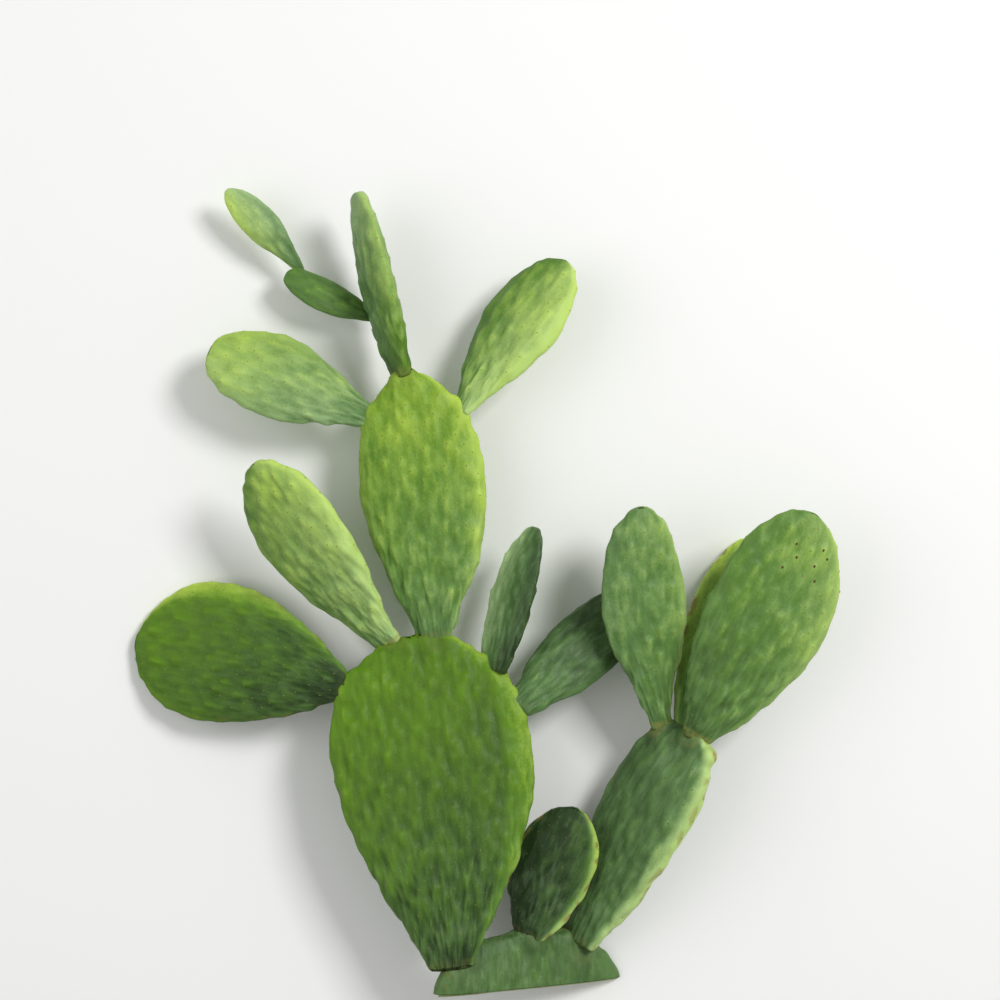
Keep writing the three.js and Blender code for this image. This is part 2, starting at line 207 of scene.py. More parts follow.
# Tubercles. Sizes, gaps and scatter are shares of their pitch, and places are shares of the pad's length.
FACE_SHIFT = 0.3  # the upper face's rows lie this share of a step higher, the other's lower
ROW_SCATTER = 0.3  # a share of the step from row to row
ASIDE_SCATTER = 0.16
EDGE_GAP = 0.42
FACE_FROM, FACE_TO = 0.06, 0.97
MARGIN_GAP = 1.15
MARGIN_SCATTER = 0.15
MARGIN_OUT = 0.2  # scatter across a margin, as a share of half the thickness
MARGIN_FROM = 0.12
MARGIN_CREST = 0.3  # height along a margin, as a share of that on the faces
MOUND_WIDE, MOUND_ABOVE, MOUND_BELOW = (0.2, 0.3), 0.25, (0.6, 1.1)
MOUND_HEIGHT = (0.15, 1.0)
CREST_FADE = (0.04, 0.18)  # they come in between these places
FOOT_FADE = (0.1, 0.7)  # the foot's stronger wrinkles fade out between these

# Strength of the wrinkles over a whole pad, and what its foot adds; the last pair is for the painted shade
# and light that follow them.
RIDGE_ALL, RIDGE_FOOT = 0.8, 0.6
LINE_ALL, LINE_FOOT = 0.6, 1.2
WRINKLE_SHADING_ALL, WRINKLE_SHADING_FOOT = 0.8, 0.8

# How much the relief and the margin lighten the skin, and make it yellower: painted highlights on the crests
# and ridges, painted shade in the hollows between them and painted rim light on the margin.
CREST_HIGHLIGHT_TONE, RIDGE_SHADING_TONE, LINE_SHADING_TONE, RIM_LIGHT_TONE = 0.17, 0.11, 0.1, 0.4
CREST_HIGHLIGHT_FRESH, RIM_LIGHT_FRESH = 0.2, 0.2
HOST_CORK = 0.6  # cork round a joint on the pad that carries it, as a share of the joint's own

# Sizes of the skin's patterns across a pad, along it and through it.
RIDGE_GRAIN = (8 * MM, 17 * MM, 9 * MM)
LINE_GRAIN = (3.4 * MM, 10 * MM, 5 * MM)
WAVE_GRAIN = (28 * MM, 42 * MM, 14 * MM)
CORK_GRAIN = (5 * MM, 4 * MM, 5 * MM)
RUST_GRAIN = (6 * MM, 9 * MM, 6 * MM)
JOINT_BAND = 4 * MM  # a corky ring ends about this far above its joint

Station = namedtuple("Station", "x y z half_width half_thickness")


def srgb(code):
    """An sRGB hex colour as a linear one with alpha."""
    parts = [int(code[i:i + 2], 16) / 255 for i in (1, 3, 5)]
    return tuple(p / 12.92 if p <= 0.04045 else ((p + 0.055) / 1.055) ** 2.4 for p in parts) + (1.0,)


def lerp(low, high, share):
    return low + (high - low) * share


def smooth(low, high, values):
    share = np.clip((values - low) / (high - low), 0, 1)
    return share * share * (3 - 2 * share)


# ---- Settings a user would change ----


def number(title, about, default=0, **limits):
    return bpy.props.FloatProperty(name=title, description=about, default=default, **limits)


def length(title, about, default):
    return number(title, about, default, min=0, unit="LENGTH", precision=4)


def factor(title, about, default, high=1.0):
    return number(title, about, default, min=0, max=high, subtype="FACTOR")


def signed(title, about, default=0):
    return number(title, about, default, min=-1, max=1)


def angle(title, about, default=0):
    return number(title, about, default, subtype="ANGLE")


def colour(title, about, default):
    return bpy.props.FloatVectorProperty(name=title, description=about, default=srgb(default), size=4, min=0,
                                         max=1, subtype="COLOR")


class PadSettings(bpy.types.PropertyGroup):
    """One pad: where it grows and its size"""

    on: bpy.props.StringProperty(name="Grows on", description="The pad that carries this one", default="")
    age: bpy.props.EnumProperty(
        name="Age", description="Sets the skin and the height of the tubercles", default="mature",
        items=[("young", "Young", "Yellow-green"), ("mature", "Mature", "Mid green"), ("old", "Old", "Dark")],
    )
    along: factor("Along", "Place on the other pad's margin, from neck to tip", 1.0)
    side: signed("Side", "-1 left margin, 1 right", 1)
    face: signed("Face", "-1 lower, 1 upper")
    heading: angle("Heading", "Anticlockwise from +X", math.pi / 2)
    lean: angle("Lean", "Rise towards the tip")
    roll: angle("Roll", "Turn about its length")
    length: length("Length", "From neck to tip", 0.2)
    width: length("Width", "Across the widest place", 0.1)
    thickness: length("Thickness", "At the widest place", 0.018)
    neck: length("Neck", "Width of the neck", 0.02)
    belly: factor("Belly", "Where the pad is widest, as a share of its length", 0.6)
    taper: factor("Taper", "How the foot draws in: over 1 makes a stalk", 0.9, 2.0)
    blunt: factor("Blunt", "How round the tip is: smaller is squarer", 0.9, 2.0)
    bow: number("Bow", "Bend to the right", unit="LENGTH")
    curl: number("Curl", "Bend to the upper face", unit="LENGTH")
    # The tone from foot to tip is partly the skin's own colour and partly painted shade where a pad lies in
    # shade.
    foot_tone: factor("Foot tone", "How light the skin is at the neck", 0.4)
    tip_tone: factor("Tip tone", "How light the skin is at the tip", 0.5)
    # Painted light: the side that catches the light is painted lighter.
    side_tone: signed("Side tone", "How much lighter the right side is")
    foot_fresh: factor("Foot freshness", "Grey-green to yellow-green at the neck", 0.3)
    tip_fresh: factor("Tip freshness", "Grey-green to yellow-green at the tip", 0.5)
    # Painted light and sheen: the side that catches the light is painted yellower, the other greyer.
    side_fresh: signed("Side freshness", "How much fresher the right side is")
    # Painted rim light: how much the margin is painted lighter, mostly on the right.
    rim: factor("Rim", "How light the margin is", 0.4, 2.0)
    cork: factor("Cork", "How brown the joint is", 0.2)
    rust: factor("Rust", "How brown the margin is", 0.0)


class SkinSettings(bpy.types.PropertyGroup):
    """Relief and colours of the skin"""

    pitch: length("Tubercle pitch", "Distance between tubercles across a full-grown pad", 14.5 * MM)
    stretch: factor("Stretch", "How much further apart they are along the pad", 1.25, 2.0)
    young_rise: length("Young tubercles", "Height on a young pad", 2.5 * MM)
    mature_rise: length("Mature tubercles", "Height on a mature pad", 2.7 * MM)
    old_rise: length("Old tubercles", "Height on an old pad", 1.6 * MM)
    ridge: length("Ridges", "Height of the long soft ridges", 2.2 * MM)
    line: length("Lines", "Height of the fine lengthwise lines", 0.8 * MM)
    wave: length("Waves", "Height of the slow swells", 2.0 * MM)
    collar: length("Collar", "Swelling round a joint", 2.6 * MM)
    areole: length("Areole", "Length of the felt cushion on a tubercle", 1.3 * MM)
    waxed_dark: colour("Waxed, dark", "Dark skin under grey wax", "#1f3414")
    waxed_middle: colour("Waxed, middle", "Mid-toned skin under grey wax", "#5a7d46")
    waxed_light: colour("Waxed, light", "Light skin under grey wax", "#afce90")
    # Painted sheen: pale grey-green streaks that stand in for glossy highlights on the wax.
    painted_sheen: colour("Bloom", "Thick grey wax, in streaks", "#93b286")
    fresh_dark: colour("Fresh, dark", "Dark skin with little wax", "#25400f")
    fresh_middle: colour("Fresh, middle", "Mid-toned skin with little wax", "#5c860e")
    fresh_light: colour("Fresh, light", "Light skin with little wax", "#bcd956")
    cork: colour("Cork", "Dry corky bark at a joint", "#8f8a46")
    bark: colour("Bark", "Dry bark of the scar", "#bba466")
    rust: colour("Rust", "Brown scars on a margin", "#8a763a")
    young_felt: colour("Young felt", "Cushion on a tubercle of a young pad", "#a8a552")
    mature_felt: colour("Mature felt", "Cushion on a tubercle of a mature pad", "#8b9650")
    old_felt: colour("Old felt", "Cushion on a tubercle of an old pad", "#6a7742")
    dark_felt: colour("Dark felt", "Withered cushion, rust red", "#5b2f1b")
    flesh: colour("Flesh", "Cut through the parent pad", "#c3cf8c")


class StageSettings(bpy.types.PropertyGroup):
    """Floor, light and camera"""

    floor: colour("Floor", "Pale floor", "#f4f4f2")
    key: number("Key light", "Power", 58, min=0, unit="POWER")
    fill: number("Fill light", "Power", 14, min=0, unit="POWER")
    sky: number("Sky", "Strength of the white surroundings", 0.42, min=0)
    view_centre: bpy.props.FloatVectorProperty(name="View centre", description="Point under the camera",
                                               size=2, default=(14.1 * MM, 70 * MM), unit="LENGTH")
    view_height: length("View height", "Camera above the middle of the branch", 2.0)
    lens: number("Lens", "Focal length", 90, min=1, unit="CAMERA")


# ---- Modelling helpers ----


def only(piece):
    """Selects one object and nothing else."""
    bpy.ops.object.select_all(action="DESELECT")
    piece.select_set(True)
    bpy.context.view_layer.objects.active = piece


def apply_modifier(piece, kind, **settings):
    modifier = piece.modifiers.new(kind.title(), kind)
    for key, value in settings.items():
        setattr(modifier, key, value)
    only(piece)
    bpy.ops.object.modifier_apply(modifier=modifier.name)


def points_of(piece):
    flat = np.empty(len(piece.data.vertices) * 3)
    piece.data.vertices.foreach_get("co", flat)
    return flat.reshape(-1, 3)


def move_points(piece, points):
    piece.data.vertices.foreach_set("co", np.ascontiguousarray(points).ravel())
    piece.data.update()


def mark(piece, name, values):
    """Keeps a number for each vertex, for the material to read."""
    attribute = piece.data.attributes.new(name, "FLOAT", "POINT")
    attribute.data.foreach_set("value", values)


def mark_places(piece, name, places):
    attribute = piece.data.attributes.new(name, "FLOAT_VECTOR", "POINT")
    attribute.data.foreach_set("vector", np.ascontiguousarray(places).ravel())


def raise_skin(piece, heights):
    """Moves each vertex out along its normal by a height, or in where the height is negative."""
    # Everything first moves in by the deepest hollow, which can fold the surface at a thin tip.
    low, span = float(heights.min()), float(np.ptp(heights))
    apply_modifier(piece, "DISPLACE", strength=low, mid_level=0, direction="NORMAL")
    group = piece.vertex_groups.new(name="raised")
    for index, share in enumerate(((heights - low) / span).tolist()):
        group.add((index,), share, "REPLACE")
    apply_modifier(piece, "DISPLACE", vertex_group="raised", strength=span, mid_level=0, direction="NORMAL")
    piece.vertex_groups.remove(piece.vertex_groups["raised"])


def finish_piece(piece, node):
    """Puts a piece's place into its mesh and hands it to the frame."""
    only(piece)
    bpy.ops.object.transform_apply(location=True, rotation=True, scale=True)
    bpy.ops.object.shade_smooth()
    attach(piece, BODY)
    if node:
        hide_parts(node)


# ---- The form of a pad ----


def belly_share(pad):
    """Share of the margin, from neck to tip, that lies below the widest place."""
    below = math.hypot(pad.belly * pad.length, (pad.width - pad.neck) / 2)
    above = math.hypot((1 - pad.belly) * pad.length, pad.width / 2)
    return below / (below + above)


def section(pad, along):
    """The cross-section at a share of the way along the margin."""
    split = belly_share(pad)
    if along < split:
        swell = math.sin(along / split * math.pi / 2) ** pad.taper
        y = pad.belly * pad.length * along / split
        half_width = lerp(pad.neck, pad.width, swell) / 2
        half_thickness = lerp(pad.neck * NECK_THICKNESS, pad.thickness, swell) / 2
    else:
        turn = (along - split) / (1 - split) * math.pi / 2
        narrowing = max(math.cos(turn), 0)
        y = pad.length * lerp(pad.belly, 1, math.sin(turn))
        half_width = pad.width / 2 * narrowing ** pad.blunt
        half_thickness = pad.thickness / 2 * (1 - TIP_THINNING * math.sin(turn)) * narrowing ** TIP_EDGE
    arch = 4 * (y / pad.length) * (1 - y / pad.length)
    return Station(pad.bow * arch, y, pad.curl * arch, half_width, half_thickness)


def cut_share(pad, y):
    """The share of the margin at a length above the widest place."""
    turn = math.asin((y / pad.length - pad.belly) / (1 - pad.belly))
    split = belly_share(pad)
    return split + (1 - split) * turn / (math.pi / 2)


def oval(half_width, half_thickness, sides):
    """Points evenly spaced round a superellipse, X across and Z up."""
    angle = np.linspace(0, 2 * math.pi, 721)
    power = 2 / SECTION_POWER
    x = half_width * np.sign(np.cos(angle)) * np.abs(np.cos(angle)) ** power
    z = half_thickness * np.sign(np.sin(angle)) * np.abs(np.sin(angle)) ** power
    run = np.concatenate([[0], np.cumsum(np.hypot(np.diff(x), np.diff(z)))])
    stops = np.linspace(0, run[-1], sides, endpoint=False)
    return np.interp(stops, run, x), np.interp(stops, run, z)


def turn_of(pad):
    """The turn from a pad's own axes to the branch's."""
    along = Vector((math.cos(pad.lean) * math.cos(pad.heading), math.cos(pad.lean) * math.sin(pad.heading),
                    math.sin(pad.lean)))
    across = Vector((math.sin(pad.heading), -math.cos(pad.heading), 0))
    axes = Matrix((across, along, across.cross(along))).transposed()
    return (Matrix.Rotation(pad.roll, 3, along) @ axes).to_4x4()


def seat_point(pad, along, side, face):
    """The place on a pad, in its own axes, that another grows from."""
    cut = section(pad, along)
    inset = (1 - abs(face) ** SECTION_POWER) ** (1 / SECTION_POWER)
    return Vector((cut.x + side * inset * cut.half_width, cut.y, cut.z + face * cut.half_thickness))


def matrix_of(pad):
    """Where a pad's own axes stand in the branch, worked out from the parent pad upwards."""
    if not pad.on:
        point, reach = CUT_END, pad.length - STUB_LENGTH
    else:
        host = pad_named(pad.on)
        point, reach = matrix_of(host) @ seat_point(host, pad.along, pad.side, pad.face), NECK_SINK
    turn = turn_of(pad)
    return Matrix.Translation(point - turn.to_3x3() @ Vector((0, reach, 0))) @ turn


def pad_named(name):
    return next(pad for pad in bpy.context.scene.prickly_pads if pad.name == name)


def daughters_of(pad):
    return [other for other in bpy.context.scene.prickly_pads if other.on == pad.name]


def girth_of(pad):
    """How big a pad's tubercles are: 1 on a full-grown pad, less on a narrow one."""
    return min(1.0, pad.width / FULL_WIDTH)


def loft(pad, first_share):
    """Extrudes a pad from a ring of its neck, or of its cut, ring by ring to its tip."""
    belly = section(pad, belly_share(pad))
    sides = 4 * round(AROUND * belly.half_width / CAGE_STEP / 4)
    margin = math.hypot(pad.belly * pad.length, pad.width / 2) \
        + math.hypot((1 - pad.belly) * pad.length, pad.width / 2)
    count = round(margin * (1 - first_share) / CAGE_STEP)
    shares = [lerp(first_share, 1, ring / count) for ring in range(count)]
    shares.append(1 - LAST_RING * (1 - first_share) / count)
    stations = [section(pad, share) for share in shares]

    bpy.ops.object.select_all(action="DESELECT")
    bpy.ops.mesh.primitive_circle_add(vertices=sides, radius=1, fill_type="NGON")
    piece = bpy.context.object
    piece.name = pad.name
    piece.data.name = pad.name
    start = stations[0]
    across, out = oval(start.half_width, start.half_thickness, sides)
    move_points(piece, np.column_stack([start.x + across, np.full(sides, start.y), start.z + out]))
    bpy.ops.object.mode_set(mode="EDIT")
    bpy.ops.mesh.select_mode(type="FACE")
    bpy.ops.mesh.select_all(action="SELECT")
    for last, here in zip(stations, stations[1:]):
        step = (here.x - last.x, here.y - last.y, here.z - last.z)
        bpy.ops.mesh.extrude_region_move(TRANSFORM_OT_translate={"value": step})
        scale = (here.half_width / last.half_width, 1, here.half_thickness / last.half_thickness)
        bpy.ops.transform.resize(value=scale, center_override=(here.x, here.y, here.z))
    bpy.ops.mesh.select_all(action="SELECT")
    bpy.ops.mesh.normals_make_consistent(inside=False)
    bpy.ops.object.mode_set(mode="OBJECT")
    return piece


# ---- Relief ----


class Skin:
    """Where each vertex of a pad lies on it, before any relief."""

    def __init__(self, piece, pad):
        self.points = points_of(piece)
        stations = [section(pad, share) for share in np.linspace(0, 1, READINGS)]
        heights = [s.y for s in stations]
        y = self.points[:, 1]
        self.along = np.clip(y / pad.length, 0, 1)
        arch = 4 * self.along * (1 - self.along)
        self.x = self.points[:, 0] - pad.bow * arch
        self.z = self.points[:, 2] - pad.curl * arch
        self.half_width = np.maximum(np.interp(y, heights, [s.half_width for s in stations]), MM)
        self.half_thickness = np.maximum(np.interp(y, heights, [s.half_thickness for s in stations]), MM)
        self.across = np.clip(self.x / self.half_width, -1, 1)
        self.girth = girth_of(pad)
        # The same place with lines that run along the skin made straight, so that they meet at the neck.
        below = np.clip(y, 0, pad.belly * pad.length)
        spread = (pad.width / 2 / np.interp(below, heights, [s.half_width for s in stations])) ** FLOW
        self.flow = np.column_stack([self.x * spread, y, self.z])


def scatter(chance, reach):
    return chance.uniform(-reach, reach)


def tubercle_places(pad, pitch, stretch, chance):
    """Points on a pad's two faces in offset rows, and along its two margins, each with its strength."""
    stations = [section(pad, share) for share in np.linspace(0, 1, READINGS)]
    heights = [s.y for s in stations]

    def at(y, name):
        return float(np.interp(y, heights, [getattr(s, name) for s in stations]))

    places = []
    row_step = pitch * stretch / 2
    rows = int(pad.length / row_step)
    for face in (1, -1):
        for row in range(1, rows):
            y = (row + FACE_SHIFT * face) * row_step
            half = at(y, "half_width")
            columns = int(half / pitch) + 1
            for column in range(-columns, columns + 1):
                x = (column + 0.5 * (row % 2)) * pitch
                x += pitch * scatter(chance, ASIDE_SCATTER)
                up = y + row_step * scatter(chance, ROW_SCATTER)
                if abs(x) < half - EDGE_GAP * pitch and FACE_FROM * pad.length < up < FACE_TO * pad.length:
                    bulge = (1 - (abs(x) / half) ** SECTION_POWER) ** (1 / SECTION_POWER)
                    out = face * bulge * at(up, "half_thickness")
                    places.append((at(up, "x") + x, up, at(up, "z") + out, 1.0))
    for side in (1, -1):
        gone = pitch * (0.5 + 0.25 * side)
        last = section(pad, 0.0)
        for share in np.linspace(0, 1, 400):
            here = section(pad, share)
            gone += math.hypot(here.y - last.y, here.half_width - last.half_width)
            last = here
            if gone > pitch * MARGIN_GAP and here.y > MARGIN_FROM * pad.length:
                gone = pitch * scatter(chance, MARGIN_SCATTER)
                places.append((here.x + side * here.half_width, here.y,
                               here.z + here.half_thickness * scatter(chance, MARGIN_OUT), MARGIN_CREST))
    return np.array(places)


def tubercle_field(skin, places, pitch, chance):
    """How far each vertex lies up a tubercle, each one steep above its crest and drawn out below it."""
    field = np.zeros(len(skin.points))
    for place in places:
        offset = skin.points - place[:3]
        up = offset[:, 1]
        aside = np.hypot(offset[:, 0], offset[:, 2])
        wide = pitch * chance.uniform(*MOUND_WIDE)
        tall = np.where(up > 0, MOUND_ABOVE * pitch, pitch * chance.uniform(*MOUND_BELOW))
        mound = np.exp(-((aside / wide) ** 2) - (up / tall) ** 2) * place[3] * chance.uniform(*MOUND_HEIGHT)
        field = 1 - (1 - field) * (1 - mound)
    return field


def noise_field(points, grain, seed):
    """Smooth noise about zero, most of it within a half either way; grain is its size along X, Y and Z."""
    shift = Vector((seed * 3.7, seed * 1.9, seed * 5.3))
    return np.array([0.8 * noise.noise(Vector(point) + shift) for point in points / np.array(grain)])


def collar_field(skin, pad, daughter):
    """How near each vertex lies to the joint of a pad that grows here: 1 at its edge, 0 a little way off."""
    to_daughter = np.array(matrix_of(daughter).inverted() @ matrix_of(pad))
    points = skin.points @ to_daughter[:3, :3].T + to_daughter[:3, 3]
    half = daughter.neck / 2
    out = np.hypot(points[:, 0] / half, points[:, 2] / (half * NECK_THICKNESS))
    level = np.abs(points[:, 1] - NECK_SINK) / (1.2 * half)
    return (1 - smooth(1.0, 1 + 2 * COLLAR_REACH, out)) * (1 - smooth(0.6, 1.6, level))


def joint_share(skin):
    """How near each vertex lies to the pad's own joint with the one that it grows from."""
    return 1 - smooth(0.6 * JOINT_BAND, 1.4 * JOINT_BAND, skin.points[:, 1] - NECK_SINK)


def knob_field(skin, pad):
    """Height of the shoulder that carries the scar."""
    centre = np.array(seat_point(pad, SCAR["along"], SCAR["side"], 0))
    reach = np.linalg.norm(skin.points - centre, axis=1) / (SCAR["width"] / 2 * MM)
    return SCAR["rise"] * MM * (1 - smooth(0.35, 1.4, reach))


def dress_skin(piece, pad, chance):
    """Adds a pad's relief and marks what its material reads. Returns the tops of its tubercles."""
    settings = bpy.context.scene.prickly_skin
    skin = Skin(piece, pad)
    seed = chance.uniform(0, 40)
    pitch = settings.pitch * (0.55 + 0.45 * skin.girth)
    places = tubercle_places(pad, pitch, settings.stretch, chance)
    daughters = daughters_of(pad)
    collars = [collar_field(skin, pad, other) for other in daughters]
    collar = np.max(collars, axis=0) if collars else np.zeros(len(skin.points))
    crest = tubercle_field(skin, places, pitch, chance) * smooth(*CREST_FADE, skin.along) * (1 - collar)
    foot = 1 - smooth(*FOOT_FADE, skin.along)
    ridges = noise_field(skin.flow, RIDGE_GRAIN, seed)
    lines = noise_field(skin.flow, LINE_GRAIN, seed + 5)
    waves = noise_field(skin.points, WAVE_GRAIN, seed + 7)
    rise = getattr(settings, f"{pad.age}_rise")

    relief = rise * (crest - crest.mean())
    relief += settings.ridge * (RIDGE_ALL + RIDGE_FOOT * foot) * ridges
    relief += settings.line * (LINE_ALL + LINE_FOOT * foot) * lines
    relief += settings.wave * waves
    start = skin.points[:, 1].min()
    tip = np.linalg.norm(skin.points - (0, pad.length, 0), axis=1) / skin.girth
    calm = smooth(0, CALM_TIP, tip) * smooth(0, CALM_END, skin.points[:, 1] - start)
    relief = (relief * calm + settings.collar * collar) * skin.girth
    relief = np.maximum(relief, -HOLLOW * skin.half_thickness)
    if pad.name == SCAR["on"]:
        relief += knob_field(skin, pad)
    raise_skin(piece, relief)

    patches = noise_field(skin.points, CORK_GRAIN, seed + 13)
    cork = [HOST_CORK * smooth(0.3, 1.0, field) * other.cork for field, other in zip(collars, daughters)]
    cork = np.max(cork, axis=0) if cork else np.zeros(len(crest))
    cork = np.maximum(cork, joint_share(skin) * pad.cork) * smooth(-0.7, 0.2, patches)
    margin = smooth(0.84, 1.0, np.abs(skin.across))
    # Painted rim light: the margin is painted lighter, most of all on the right side.
    rim = pad.rim * (smooth(0.65, 1.0, skin.across) + 0.3 * smooth(0.75, 1.0, -skin.across))
    scars = noise_field(skin.flow, RUST_GRAIN, seed + 19)
    # Painted shade and light: the ridges and lines are painted lighter on their tops and darker in their
    # hollows.
    wrinkle_shading = (RIDGE_SHADING_TONE * ridges + LINE_SHADING_TONE * lines) * (WRINKLE_SHADING_ALL + WRINKLE_SHADING_FOOT * foot)
    # Partly painted light: the tone from foot to tip is in part painted shade where a pad lies in shade, and
    # the side shares paint the side that catches the light lighter and yellower.
    tone = lerp(pad.foot_tone, pad.tip_tone, skin.along) + pad.side_tone * skin.across / 2
    fresh = lerp(pad.foot_fresh, pad.tip_fresh, skin.along) + pad.side_fresh * skin.across / 2
    # Painted highlights: the tubercle crests are painted lighter and yellower, with painted shade between
    # them, and the margin gets painted rim light.
    mark(piece, "tone", tone + CREST_HIGHLIGHT_TONE * (crest - crest.mean()) + wrinkle_shading + RIM_LIGHT_TONE * rim)
    mark(piece, "fresh", fresh + CREST_HIGHLIGHT_FRESH * (crest - crest.mean()) + RIM_LIGHT_FRESH * rim)
    mark(piece, "cork", np.clip(cork, 0, 1))
    mark(piece, "rust", np.clip(pad.rust * margin * smooth(-0.05, 0.3, scars), 0, 1))
    mark_places(piece, "place", skin.points)
    mark_places(piece, "flow", skin.flow)
    return places


# ---- Materials ----


def add_node(tree, kind, inputs=None, **settings):
    """Adds a node with its settings, and sets or links its inputs."""
    node = tree.nodes.new(kind)
    for key, value in settings.items():
        setattr(node, key, value)
    for socket, value in (inputs or {}).items():
        if isinstance(value, bpy.types.NodeSocket):
            tree.links.new(value, node.inputs[socket])
        else:
            node.inputs[socket].default_value = value
    return node


MIX_A, MIX_B, MIX_RESULT = 6, 7, 2  # the colour sockets of a Mix node


def new_material(name):
    material = bpy.data.materials.new(name)
    material.use_nodes = True
    return material, material.node_tree, material.node_tree.nodes["Principled BSDF"]


def mottled(tree, shader, share, base, depth):
    """Colours a shader from a darker shade of its base, at a share of 0, to the base itself."""
    dark = tuple(depth * part for part in base[:3]) + (1.0,)
    shade = add_node(tree, "ShaderNodeMix", {0: share, MIX_A: dark, MIX_B: base}, data_type="RGBA")
    tree.links.new(shade.outputs[MIX_RESULT], shader.inputs["Base Color"])


def bumped(tree, shader, height, strength, distance):
    node = add_node(tree, "ShaderNodeBump", {"Height": height, "Strength": strength, "Distance": distance})
    tree.links.new(node.outputs["Normal"], shader.inputs["Normal"])


def own_noise(tree, size, detail):
    """Noise in the object's own coordinates, its blotches as wide as size."""
    place = add_node(tree, "ShaderNodeTexCoord").outputs["Object"]
    node = add_node(tree, "ShaderNodeTexNoise", {"Vector": place, "Scale": 1 / size, "Detail": detail})
    return node.outputs["Fac"]


def waxy_skin(name, roughness):
    """Living cactus skin under a thin wax: satin, mottled, a little streaked along the pad, with painted
    sheen in pale grey streaks.
    """
    settings = bpy.context.scene.prickly_skin
    material, tree, shader = new_material(name)
    marks = {
        key: add_node(tree, "ShaderNodeAttribute", attribute_name=key).outputs["Fac"]
        for key in ("tone", "fresh", "cork", "rust")
    }
    place = add_node(tree, "ShaderNodeAttribute", attribute_name="place").outputs["Vector"]
    flow = add_node(tree, "ShaderNodeAttribute", attribute_name="flow").outputs["Vector"]

    def cloud(size, stretch, detail, coarse=0.5):
        """Noise whose blotches are as wide as size, and longer along the pad by stretch."""
        source = place if stretch == 1 else add_node(
            tree, "ShaderNodeMapping", {"Vector": flow, "Scale": (1, 1 / stretch, 1)}).outputs["Vector"]
        return add_node(tree, "ShaderNodeTexNoise", {"Vector": source, "Scale": 1 / size, "Detail": detail,
                                                     "Roughness": coarse}).outputs["Fac"]

    patch = cloud(34 * MM, 1, 2)
    mottle = cloud(7 * MM, 1.6, 4, 0.6)
    streak = cloud(3.6 * MM, 4, 3)
    fine = cloud(1.3 * MM, 1.6, 2)

    def stir(level, *amounts):
        """Shifts a level by noises about zero."""
        for noise_value, amount in amounts:
            shift = add_node(tree, "ShaderNodeMath", {0: noise_value, 1: -0.5}, operation="ADD")
            level = add_node(tree, "ShaderNodeMath", {0: shift.outputs[0], 1: amount, 2: level},
                             operation="MULTIPLY_ADD").outputs[0]
        return level

    def ramp(level, dark, middle, light):
        node = add_node(tree, "ShaderNodeValToRGB", {"Fac": level})
        node.color_ramp.elements[0].color = dark
        node.color_ramp.elements[1].color = light
        node.color_ramp.elements.new(0.5).color = middle
        return node.outputs["Color"]

    def mix(base, other, share, top, low=0.0, high=1.0):
        amount = add_node(tree, "ShaderNodeMapRange", {"Value": share, "From Min": low, "From Max": high,
                                                       "To Max": top}, interpolation_type="SMOOTHSTEP")
        return add_node(tree, "ShaderNodeMix", {0: amount.outputs[0], MIX_A: base, MIX_B: other},
                        data_type="RGBA").outputs[MIX_RESULT]

    level = stir(marks["tone"], (patch, 0.22), (mottle, 0.2), (streak, 0.07), (fine, 0.18))
    freshness = stir(marks["fresh"], (patch, 0.25), (mottle, 0.1))
    waxed = ramp(level, settings.waxed_dark, settings.waxed_middle, settings.waxed_light)
    # Painted sheen: where the noise is high the skin is painted pale grey-green, standing in for glossy
    # highlights.
    painted_sheen = add_node(tree, "ShaderNodeMath", {0: patch, 1: 0.7, 2: streak}, operation="MULTIPLY_ADD")
    waxed = mix(waxed, settings.painted_sheen, painted_sheen.outputs[0], top=0.24, low=0.8, high=1.2)
    green = ramp(level, settings.fresh_dark, settings.fresh_middle, settings.fresh_light)
    skin = mix(waxed, green, freshness, top=1.0)
    skin = mix(skin, settings.rust, marks["rust"], top=0.75, low=0.05, high=0.7)
    skin = mix(skin, settings.cork, marks["cork"], top=0.6)
    tree.links.new(skin, shader.inputs["Base Color"])

    gloss = add_node(tree, "ShaderNodeMapRange", {"Value": mottle, "From Min": 0.3, "From Max": 0.7,
                                                  "To Min": roughness, "To Max": roughness + 0.14})
    dry = add_node(tree, "ShaderNodeMath", {0: marks["cork"], 1: 0.35, 2: gloss.outputs[0]},
                   operation="MULTIPLY_ADD")
    tree.links.new(dry.outputs[0], shader.inputs["Roughness"])
    shader.inputs["IOR"].default_value = 1.45
    shader.inputs["Specular IOR Level"].default_value = 0.33
    grain = add_node(tree, "ShaderNodeMath", {0: fine, 1: 0.35, 2: streak}, operation="MULTIPLY_ADD")
    bumped(tree, shader, grain.outputs[0], 0.6, 0.9 * MM)
    return material


def felt(name, base):
    """Short dry hairs packed in a cushion: matt, a little mottled."""
    made = bpy.data.materials.get(name)
    if made:
        return made
    material, tree, shader = new_material(name)
    mottled(tree, shader, own_noise(tree, 0.7 * MM, 2), base, 0.5)
    shader.inputs["Roughness"].default_value = 0.9
    return material


def cut_flesh():
    """Wet flesh that has begun to dry: pale, with darker strings, and pitted."""
    settings = bpy.context.scene.prickly_skin
    material, tree, shader = new_material("cut_cactus_flesh")
    place = add_node(tree, "ShaderNodeTexCoord").outputs["Object"]
    cells = add_node(tree, "ShaderNodeTexVoronoi", {"Vector": place, "Scale": 1 / (1.6 * MM)})
    mottled(tree, shader, own_noise(tree, 2.5 * MM, 4), settings.flesh, 0.55)
    shader.inputs["Roughness"].default_value = 0.5
    bumped(tree, shader, cells.outputs["Distance"], 0.5, 0.5 * MM)
    return material


